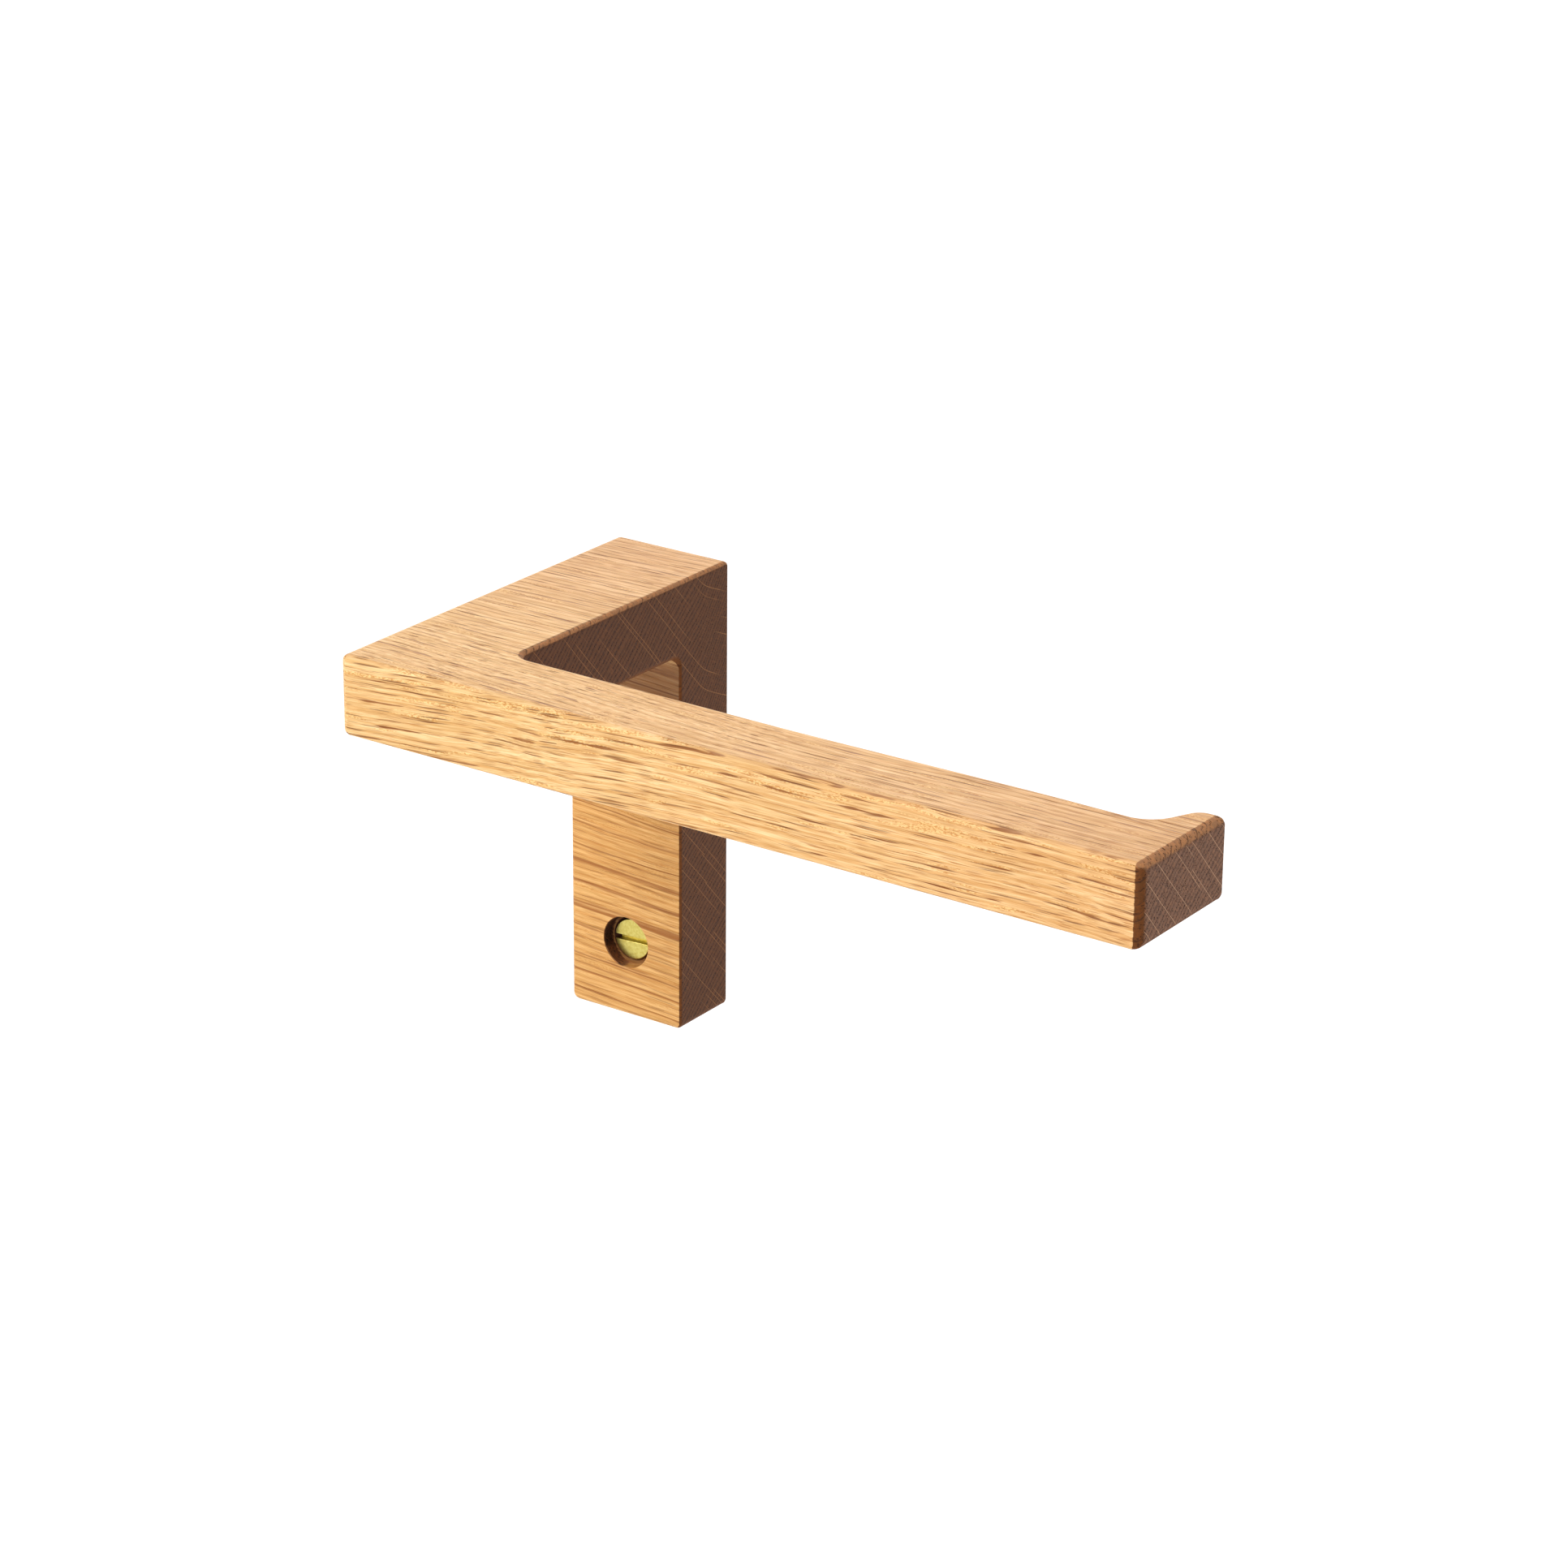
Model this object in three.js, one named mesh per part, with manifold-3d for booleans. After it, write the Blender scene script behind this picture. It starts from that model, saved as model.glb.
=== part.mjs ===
// Wall-mounted oak toilet-roll holder with two slotted brass wood screws.
// Millimetres. +Z up, +X along the arm to its free end, +Y into the wall.
// The origin is on the wall plane, at the middle of the wall plate's back face.

import * as THREE from 'three';
import { mergeVertices } from 'three/addons/utils/BufferGeometryUtils.js';
import Module from 'manifold-3d';

const wasm = await Module();
wasm.setup();

// ---------------------------------------------------------------- dimensions
const BAR = 15; // thickness of the stock: the arm, the stand-off and the plate
const PLATE_W = 25.85; // wall plate and stand-off, along X
const PLATE_H = 90; // wall plate, along Z
const REACH = 81; // wall to the front face of the arm
const LENGTH = 163.5; // left side of the plate to the free end of the arm
const ARM_W_ROOT = 17.3; // depth of the arm (Y) beside the stand-off
const ARM_W_WAIST = 16.6; // and at its slight waist
const TIP_W = 25.6; // depth of the hooked tip
const LIP_NOSE_X = 2.6; // centre of the hook's nose, back from the end face
const LIP_NOSE_R = 3.6; // round on the hook's inner edge
const LIP_THROAT_R = 6; // hollow where the hook grows out of the arm
const LIP_ANGLE = 65; // slope of the hook's inner face, degrees from the arm
const EDGE_R = 1.3; // rounding of the long arrises
const CORNER_R = 1.75; // rounding of the upright arrises
const PLATE_EDGE_R = 0.7; // rounding round the plate's front and back faces
const INNER_R = 3; // fillet between the arm and the stand-off
const UNDER_R = 2; // fillet between the stand-off and the plate
const SCREW_Z = [-30, 10]; // screw heights from the plate's middle
const BORE_D = 10.2; // counterbore that sinks the screw heads
const BORE_DEPTH = 2.35;
const SEAT_D = 8.9; // countersunk seat under the counterbore
const CLEAR_D = 5.1; // clearance hole through the plate
const RIM = 0.2; // eased rim of the counterbore
const HEAD_D = 8.1; // slotted countersunk head
const HEAD_SUNK = 2; // head's top below the plate's front face
const HEAD_LAND = 0.35;
const SHANK_D = 4.5;
const SCREW_L = 25;
const THREAD_L = 15;
const POINT_L = 5;
const SLOT_W = 1.05;
const SLOT_DEPTH = 1.1;
const SLOT_TURN = [-2.5, 23]; // degrees the slots are turned from level

const XL = -PLATE_W / 2;
const XR = PLATE_W / 2;
const XE = XL + LENGTH;
const ZT = PLATE_H / 2;
const ZB = -PLATE_H / 2;
const YF = -REACH;

// ------------------------------------------------------------------- helpers
function toSolid(geometry) {
  const g = geometry.clone();
  g.deleteAttribute('normal');
  g.deleteAttribute('uv');
  const m = mergeVertices(g, 1e-5);
  const pos = m.getAttribute('position');
  const idx = m.getIndex();
  const tri = [];
  for (let i = 0; i < idx.count; i += 3) {
    const a = idx.getX(i), b = idx.getX(i + 1), c = idx.getX(i + 2);
    if (a !== b && b !== c && c !== a) tri.push(a, b, c);
  }
  // signed volume tells whether the faces point out
  let v = 0;
  const A = new THREE.Vector3(), B = new THREE.Vector3(), C = new THREE.Vector3();
  for (let i = 0; i < tri.length; i += 3) {
    A.fromBufferAttribute(pos, tri[i]);
    B.fromBufferAttribute(pos, tri[i + 1]);
    C.fromBufferAttribute(pos, tri[i + 2]);
    v += A.dot(B.cross(C));
  }
  if (v < 0) {
    for (let i = 0; i < tri.length; i += 3) {
      const t = tri[i + 1];
      tri[i + 1] = tri[i + 2];
      tri[i + 2] = t;
    }
  }
  return new wasm.Manifold(new wasm.Mesh({
    numProp: 3,
    vertProperties: new Float32Array(pos.array),
    triVerts: new Uint32Array(tri),
  }));
}

function toGeometry(solid) {
  const mesh = solid.getMesh();
  const g = new THREE.BufferGeometry();
  const n = mesh.numProp;
  const xyz = new Float32Array((mesh.vertProperties.length / n) * 3);
  for (let i = 0, j = 0; i < mesh.vertProperties.length; i += n) {
    xyz[j++] = mesh.vertProperties[i];
    xyz[j++] = mesh.vertProperties[i + 1];
    xyz[j++] = mesh.vertProperties[i + 2];
  }
  g.setAttribute('position', new THREE.BufferAttribute(xyz, 3));
  g.setIndex(new THREE.BufferAttribute(new Uint32Array(mesh.triVerts), 1));
  g.computeVertexNormals();
  return g;
}

const deg = (a) => (a * Math.PI) / 180;

// points of an arc, from angle a to angle b in degrees
function arc(cx, cy, r, a, b, steps) {
  const out = [];
  for (let i = 0; i <= steps; i++) {
    const t = deg(a + ((b - a) * i) / steps);
    out.push(new THREE.Vector2(cx + r * Math.cos(t), cy + r * Math.sin(t)));
  }
  return out;
}

// an outline pushed up with its top and bottom arrises rounded, outline kept
function roundedSlab(points, height, r, steps) {
  return new THREE.ExtrudeGeometry(new THREE.Shape(points), {
    depth: height - 2 * r,
    bevelEnabled: true,
    bevelThickness: r,
    bevelSize: r,
    bevelOffset: -r,
    bevelSegments: steps,
    curveSegments: 1,
    steps: 1,
  }).translate(0, 0, r);
}

// ------------------------------------------------ arm and stand-off in plan
const armBack = (w) => YF + w;
const noseX = XE - LIP_NOSE_X;
const noseY = YF + TIP_W - LIP_NOSE_R;
const noseEnd = new THREE.Vector2(
  noseX + LIP_NOSE_R * Math.cos(deg(90 + LIP_ANGLE)),
  noseY + LIP_NOSE_R * Math.sin(deg(90 + LIP_ANGLE)),
);
const throatW = 16.85;
const throatY = armBack(throatW) + LIP_THROAT_R;
const throatTop = throatY - LIP_THROAT_R * Math.cos(deg(LIP_ANGLE));
const slope = (noseEnd.y - throatTop) / Math.sin(deg(LIP_ANGLE));
const throatX = noseEnd.x - slope * Math.cos(deg(LIP_ANGLE)) - LIP_THROAT_R * Math.sin(deg(LIP_ANGLE));

// the arm's back edge is very slightly waisted
const backEdge = new THREE.SplineCurve([
  new THREE.Vector2(throatX, armBack(throatW)),
  new THREE.Vector2(132, armBack(16.95)),
  new THREE.Vector2(122, armBack(17.1)),
  new THREE.Vector2(108, armBack(16.97)),
  new THREE.Vector2(90, armBack(16.75)),
  new THREE.Vector2(74, armBack(ARM_W_WAIST)),
  new THREE.Vector2(58, armBack(16.8)),
  new THREE.Vector2(40, armBack(17.02)),
  new THREE.Vector2(XR + INNER_R, armBack(ARM_W_ROOT)),
]).getPoints(24);

const plan = [
  ...arc(XL + CORNER_R, YF + CORNER_R, CORNER_R, 180, 270, 5),
  ...arc(XE - CORNER_R, YF + CORNER_R, CORNER_R, 270, 360, 5),
  new THREE.Vector2(XE, YF + TIP_W),
  ...arc(noseX, noseY, LIP_NOSE_R, 90, 90 + LIP_ANGLE, 7),
  ...arc(throatX, throatY, LIP_THROAT_R, LIP_ANGLE - 90, -90, 8),
  ...backEdge.slice(1, -1),
  ...arc(XR + INNER_R, armBack(ARM_W_ROOT) + INNER_R, INNER_R, 270, 180, 6),
  ...arc(XR - CORNER_R, -CORNER_R, CORNER_R, 0, 90, 5),
  ...arc(XL + CORNER_R, -CORNER_R, CORNER_R, 90, 180, 5),
];

const bar = toSolid(roundedSlab(plan, BAR, EDGE_R, 4).translate(0, 0, ZT - BAR));

// ------------------------------------------------------------ the wall plate
const front = [
  ...arc(XR - CORNER_R, ZT - CORNER_R, CORNER_R, 0, 90, 5),
  ...arc(XL + CORNER_R, ZT - CORNER_R, CORNER_R, 90, 180, 5),
  ...arc(XL + CORNER_R, ZB + CORNER_R, CORNER_R, 180, 270, 5),
  ...arc(XR - CORNER_R, ZB + CORNER_R, CORNER_R, 270, 360, 5),
];
const plate = toSolid(roundedSlab(front, BAR, PLATE_EDGE_R, 4).rotateX(Math.PI / 2));

// fillet in the corner under the stand-off
const cornerY = -BAR;
const cornerZ = ZT - BAR;
const filletShape = new THREE.Shape([
  new THREE.Vector2(cornerY + 1, cornerZ + 1),
  new THREE.Vector2(cornerY - UNDER_R, cornerZ + 1),
  ...arc(cornerY - UNDER_R, cornerZ - UNDER_R, UNDER_R, 90, 0, 5),
  new THREE.Vector2(cornerY + 1, cornerZ - UNDER_R),
]);
const filletW = PLATE_W - 2 * EDGE_R;
const fillet = toSolid(
  new THREE.ExtrudeGeometry(filletShape, { depth: filletW, bevelEnabled: false, curveSegments: 1 })
    // local X to world Y, local Y to world Z, and the push to world X
    .applyMatrix4(new THREE.Matrix4().makeBasis(
      new THREE.Vector3(0, 1, 0),
      new THREE.Vector3(0, 0, 1),
      new THREE.Vector3(1, 0, 0),
    ))
    .translate(-filletW / 2, 0, 0),
);

// counterbored and countersunk screw holes, turned about the hole's own axis
function hole(z) {
  const y0 = -BAR;
  const floor = y0 + BORE_DEPTH;
  const seatEnd = floor + (SEAT_D - CLEAR_D) / 2;
  const profile = [
    new THREE.Vector2(0, y0 - 2),
    new THREE.Vector2(BORE_D / 2 + RIM, y0 - 2),
    new THREE.Vector2(BORE_D / 2 + RIM, y0),
    new THREE.Vector2(BORE_D / 2 + RIM * 0.3, y0 + RIM * 0.3),
    new THREE.Vector2(BORE_D / 2, y0 + RIM),
    new THREE.Vector2(BORE_D / 2, floor),
    new THREE.Vector2(SEAT_D / 2, floor),
    new THREE.Vector2(CLEAR_D / 2, seatEnd),
    new THREE.Vector2(CLEAR_D / 2, 2),
    new THREE.Vector2(0, 2),
  ];
  return toSolid(new THREE.LatheGeometry(profile, 32).translate(0, 0, z));
}

let oak = bar.add(plate).add(fillet);
for (const z of SCREW_Z) oak = oak.subtract(hole(z));

// --------------------------------------------------------------- the screws
function screw(z, turn) {
  const top = -BAR + HEAD_SUNK;
  const coneEnd = top + HEAD_LAND + (HEAD_D - SHANK_D) / 2;
  const tip = top + SCREW_L;
  const core = SHANK_D * 0.35;
  const profile = [
    new THREE.Vector2(0, top),
    new THREE.Vector2(HEAD_D / 2 - 0.12, top),
    new THREE.Vector2(HEAD_D / 2, top + 0.12),
    new THREE.Vector2(HEAD_D / 2, top + HEAD_LAND),
    new THREE.Vector2(SHANK_D / 2, coneEnd),
    new THREE.Vector2(SHANK_D / 2, tip - THREAD_L),
    new THREE.Vector2(SHANK_D / 2, tip - POINT_L),
    new THREE.Vector2(core, tip - POINT_L * 0.45),
    new THREE.Vector2(0, tip),
  ];
  const body = toSolid(new THREE.LatheGeometry(profile, 32));
  const slot = toSolid(
    new THREE.BoxGeometry(HEAD_D + 2, 2 * SLOT_DEPTH, SLOT_W)
      .translate(0, top, 0)
      .rotateY(deg(turn)),
  );
  return toGeometry(body.subtract(slot)).translate(0, 0, z);
}

// ------------------------------------------------------------------ assembly
const oakOiled = new THREE.MeshStandardMaterial({ color: 0xd9a566, roughness: 0.55, metalness: 0 });
const brassA = new THREE.MeshStandardMaterial({ color: 0xc9b458, roughness: 0.3, metalness: 1 });
const brassB = brassA.clone();

function part(name, geometry, material) {
  const mesh = new THREE.Mesh(geometry, material);
  mesh.name = name;
  return mesh;
}

const holder = new THREE.Group();
holder.name = 'roll_holder';
holder.add(part('oak_body', toGeometry(oak), oakOiled));

const fixings = new THREE.Group();
fixings.name = 'fixings';
fixings.add(part('lower_screw', screw(SCREW_Z[0], SLOT_TURN[0]), brassA));
fixings.add(part('upper_screw', screw(SCREW_Z[1], SLOT_TURN[1]), brassB));
holder.add(fixings);

export default holder;
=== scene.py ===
import math

import bmesh
import bpy
from mathutils import Matrix, Vector


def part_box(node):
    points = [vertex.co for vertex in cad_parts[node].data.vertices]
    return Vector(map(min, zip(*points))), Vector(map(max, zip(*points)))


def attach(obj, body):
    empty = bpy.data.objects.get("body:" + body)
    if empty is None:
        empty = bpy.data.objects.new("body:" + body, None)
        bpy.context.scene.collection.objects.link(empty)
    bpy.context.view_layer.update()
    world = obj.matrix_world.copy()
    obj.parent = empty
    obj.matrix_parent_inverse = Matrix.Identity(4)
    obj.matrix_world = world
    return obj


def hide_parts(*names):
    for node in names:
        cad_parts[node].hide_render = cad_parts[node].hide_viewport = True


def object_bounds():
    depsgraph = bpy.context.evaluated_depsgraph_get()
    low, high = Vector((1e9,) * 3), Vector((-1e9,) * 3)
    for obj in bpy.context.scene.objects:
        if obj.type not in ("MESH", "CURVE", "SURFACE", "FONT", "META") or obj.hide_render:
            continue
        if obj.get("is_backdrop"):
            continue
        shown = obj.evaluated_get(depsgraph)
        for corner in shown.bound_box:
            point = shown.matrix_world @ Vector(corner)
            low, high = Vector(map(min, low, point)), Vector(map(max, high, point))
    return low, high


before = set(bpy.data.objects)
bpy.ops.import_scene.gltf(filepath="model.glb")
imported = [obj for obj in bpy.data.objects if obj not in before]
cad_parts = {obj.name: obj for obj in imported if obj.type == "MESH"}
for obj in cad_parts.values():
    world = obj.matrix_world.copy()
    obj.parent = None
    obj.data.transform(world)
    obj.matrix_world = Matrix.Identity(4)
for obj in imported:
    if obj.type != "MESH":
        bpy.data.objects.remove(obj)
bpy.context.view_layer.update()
MM = 0.001

# --------------------------------------------------------------- positions
oak_lo, oak_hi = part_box("oak_body")
XL, YF, ZB = (v / MM for v in oak_lo)
XE, YB, ZT = (v / MM for v in oak_hi)
XR = -XL  # the plate is centred on x = 0
BAR = 15.0
ZU = ZT - BAR  # underside of the arm and the stand-off
YP = YB - BAR  # front face of the plate

# roundings and small shapes of the oak, mm
LONG_R = 0.95    # arrises along the grain
SHORT_R = 1.75   # arrises across the grain, on the end faces
UPRIGHT_R = 1.75
BACK_R = 1.05    # back arrises of the arm and the hook
INNER_R = 3.0
UNDER_R = 2.0
TIP_W = 25.6     # hook: depth, and its nose's centre back from the end face
NOSE_X = 2.6
NOSE_R = 3.6
THROAT_R = 6.0
LIP_ANGLE = 65.0
BORE_R = 5.1
BORE_DEPTH = 2.35
SEAT_R = 4.45
CLEAR_R = 2.55
RIM = 0.2


# oak colours as seen in daylight, 0-255
LATE = (248, 213, 160)
EARLY = (233, 187, 124)
END_LATE = (127, 91, 70)
END_EARLY = (101, 69, 52)


# ----------------------------------------------------------------- helpers
def new_object(name, mesh):
    ob = bpy.data.objects.new(name, mesh)
    bpy.context.scene.collection.objects.link(ob)
    return ob


def mesh_from(bm, name):
    me = bpy.data.meshes.new(name)
    bmesh.ops.recalc_face_normals(bm, faces=bm.faces[:])
    bm.to_mesh(me)
    bm.free()
    return me


def apply_modifiers(ob):
    """The object's mesh with its modifiers applied."""
    dg = bpy.context.evaluated_depsgraph_get()
    dg.update()
    me = bpy.data.meshes.new_from_object(ob.evaluated_get(dg), depsgraph=dg)
    old = ob.data
    ob.modifiers.clear()
    ob.data = me
    bpy.data.meshes.remove(old)
    return ob


def arc(cx, cy, r, a, b, n):
    out = []
    for i in range(n + 1):
        t = math.radians(a + (b - a) * i / n)
        out.append((cx + r * math.cos(t), cy + r * math.sin(t)))
    return out


def catmull(points, n):
    """Centripetal-free Catmull-Rom through the points, n points in all."""
    p = [Vector(q) for q in points]
    p = [p[0] * 2 - p[1]] + p + [p[-1] * 2 - p[-2]]
    spans = len(points) - 1
    out = []
    for i in range(n):
        u = i / (n - 1) * spans
        k = min(int(u), spans - 1)
        t = u - k
        a, b, c, d = p[k], p[k + 1], p[k + 2], p[k + 3]
        out.append(tuple(0.5 * ((2 * b) + (c - a) * t + (2 * a - 5 * b + 4 * c - d) * t * t
                                + (3 * b - a - 3 * c + d) * t ** 3)))
    return out


def lathe(profile, steps, name, turn=0.0):
    """A closed body from (radius, y) pairs turned about the Y axis; the first and last radius are 0."""
    bm = bmesh.new()
    rings = []
    for r, y in profile:
        if r < 1e-6:
            rings.append([bm.verts.new((0, y * MM, 0))])
        else:
            rings.append([bm.verts.new((r * MM * math.cos(2 * math.pi * i / steps + turn), y * MM,
                                        r * MM * math.sin(2 * math.pi * i / steps + turn))) for i in range(steps)])
    for a, b in zip(rings[:-1], rings[1:]):
        for i in range(steps):
            j = (i + 1) % steps
            if len(a) == 1:
                bm.faces.new((a[0], b[j], b[i]))
            elif len(b) == 1:
                bm.faces.new((a[i], a[j], b[0]))
            else:
                bm.faces.new((a[i], a[j], b[j], b[i]))
    return mesh_from(bm, name)


def boolean(ob, cutter, operation="DIFFERENCE"):
    m = ob.modifiers.new("cut", "BOOLEAN")
    m.object = cutter
    m.operation = operation
    m.solver = "EXACT"
    apply_modifiers(ob)
    me = cutter.data
    bpy.data.objects.remove(cutter)
    bpy.data.meshes.remove(me)


def smooth(ob, angle):
    """Smooth shading with hard edges over the angle, and flats kept flat by area-weighted normals."""
    me = ob.data
    me.polygons.foreach_set("use_smooth", [True] * len(me.polygons))
    me.set_sharp_from_angle(angle=math.radians(angle))
    m = ob.modifiers.new("flats", "WEIGHTED_NORMAL")
    m.mode = "FACE_AREA"
    m.weight = 80
    m.keep_sharp = True
    apply_modifiers(ob)


# ------------------------------------------------------------ the oak body
def build_oak():
    arm = lambda w: YF + w
    tip = YF + TIP_W
    nose_x, nose_y = XE - NOSE_X, tip - NOSE_R
    a = math.radians(90 + LIP_ANGLE)
    end = (nose_x + NOSE_R * math.cos(a), nose_y + NOSE_R * math.sin(a))
    throat_w = 16.85
    throat_y = arm(throat_w) + THROAT_R
    la = math.radians(LIP_ANGLE)
    slope = (end[1] - (throat_y - THROAT_R * math.cos(la))) / math.sin(la)
    throat_x = end[0] - slope * math.cos(la) - THROAT_R * math.sin(la)
    waist = catmull([(throat_x, arm(throat_w)), (132, arm(16.95)), (122, arm(17.1)), (108, arm(16.97)),
                     (90, arm(16.75)), (74, arm(16.6)), (58, arm(16.8)), (40, arm(17.02)),
                     (XR + INNER_R, arm(17.3))], 49)
    root_y = arm(17.3) + INNER_R

    # plan outline from the front left corner, anticlockwise seen from above
    outline = [(XL, YF), (XE, YF), (XE, tip)]
    outline += arc(nose_x, nose_y, NOSE_R, 90, 90 + LIP_ANGLE, 14)
    outline += arc(throat_x, throat_y, THROAT_R, LIP_ANGLE - 90, -90, 16)
    outline += waist[1:-1]
    outline += arc(XR + INNER_R, root_y, INNER_R, 270, 180, 10)
    n_bar = len(outline)
    # the under-fillet in the side view, from the stand-off's underside to the plate's front
    under = arc(YP - UNDER_R, ZU - UNDER_R, UNDER_R, 90, 0, 8)

    bm = bmesh.new()
    layer = bm.edges.layers.float.new("bevel_weight_edge")
    V = lambda x, y, z: bm.verts.new((x * MM, y * MM, z * MM))
    top = [V(x, y, ZT) for x, y in outline]
    bot = [V(x, y, ZU) for x, y in outline]
    top_br, top_bl = V(XR, YB, ZT), V(XL, YB, ZT)
    right = [V(XR, y, z) for y, z in under]
    left = [V(XL, y, z) for y, z in under]
    low = {"rf": V(XR, YP, ZB), "rb": V(XR, YB, ZB), "lf": V(XL, YP, ZB), "lb": V(XL, YB, ZB)}
    bm.faces.new(top + [top_br, top_bl])
    bm.faces.new(list(reversed(bot + [right[0], left[0]])))
    for i in range(n_bar - 1):
        bm.faces.new((bot[i], bot[i + 1], top[i + 1], top[i]))
    # +X side of the stand-off and the plate, then the -X side
    bm.faces.new([top[-1], bot[-1]] + right + [low["rf"], low["rb"], top_br])
    bm.faces.new([top[0], top_bl, low["lb"], low["lf"]] + list(reversed(left)) + [bot[0]])
    for i in range(len(right) - 1):
        bm.faces.new((left[i], left[i + 1], right[i + 1], right[i]))
    bm.faces.new((left[-1], low["lf"], low["rf"], right[-1]))
    bm.faces.new((low["lf"], low["lb"], low["rb"], low["rf"]))
    bm.faces.new((low["lb"], top_bl, top_br, low["rb"]))
    bm.edges.ensure_lookup_table()

    # how much each edge is rounded
    rounding = {}

    def mark(p, q, r):
        e = bm.edges.get((p, q))
        if e is None:
            raise RuntimeError("no such edge")
        rounding[e] = r

    for ring in (top, bot):
        mark(ring[0], ring[1], LONG_R if ring is top else 0.6)
        mark(ring[1], ring[2], SHORT_R if ring is top else 1.9)
        for i in range(2, n_bar - 1):
            mark(ring[i], ring[i + 1], BACK_R)
    mark(top[-1], top_br, 0.9)
    mark(top_br, top_bl, 0.9)
    mark(top_bl, top[0], SHORT_R)
    mark(bot[-1], right[0], SHORT_R)
    mark(left[0], bot[0], SHORT_R)
    for side, low_r in ((left, 0.85), (right, 0.5)):
        n = len(side) - 1
        for i in range(n):
            t = (i + 0.5) / n
            mark(side[i], side[i + 1], SHORT_R + (low_r - SHORT_R) * t)
    mark(right[-1], low["rf"], 0.5)
    mark(left[-1], low["lf"], 0.85)
    mark(low["rb"], top_br, 0.6)
    mark(low["lb"], top_bl, 0.6)
    mark(low["lf"], low["rf"], 1.1)
    mark(low["lb"], low["rb"], 0.8)
    mark(low["rf"], low["rb"], SHORT_R)
    mark(low["lf"], low["lb"], SHORT_R)
    mark(bot[0], top[0], UPRIGHT_R)
    mark(bot[1], top[1], UPRIGHT_R)
    mark(bot[2], top[2], 0.35)
    widest = max(rounding.values())
    for e, r in rounding.items():
        e[layer] = r / widest

    ob = new_object("oak_holder", mesh_from(bm, "oak_holder"))
    m = ob.modifiers.new("arrises", "BEVEL")
    m.limit_method = "WEIGHT"
    m.offset_type = "OFFSET"
    m.width = widest * MM
    m.segments = 8
    m.profile = 0.5
    m.use_clamp_overlap = False
    m.loop_slide = False
    apply_modifiers(ob)

    for node in ("lower_screw", "upper_screw"):
        lo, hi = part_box(node)
        z = (lo.z + hi.z) / 2
        floor = YP + BORE_DEPTH
        profile = [(0, YP - 3), (BORE_R + RIM, YP - 3), (BORE_R + RIM, YP)]
        profile += [(BORE_R + RIM - RIM * math.sin(t), YP + RIM - RIM * math.cos(t))
                    for t in (math.radians(a) for a in (15, 30, 45, 60, 75, 90))]
        profile += [(BORE_R, floor - 0.15), (BORE_R - 0.05, floor - 0.04), (BORE_R - 0.15, floor),
                    (SEAT_R, floor), (CLEAR_R, floor + SEAT_R - CLEAR_R), (CLEAR_R, YB - 0.25),
                    (CLEAR_R + 0.25, YB), (CLEAR_R + 0.25, YB + 2), (0, YB + 2)]
        cutter = new_object("cutter", lathe(profile, 96, "cutter"))
        cutter.location.z = z
        bpy.context.view_layer.update()
        boolean(ob, cutter)
    smooth(ob, 38)
    return ob


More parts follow.
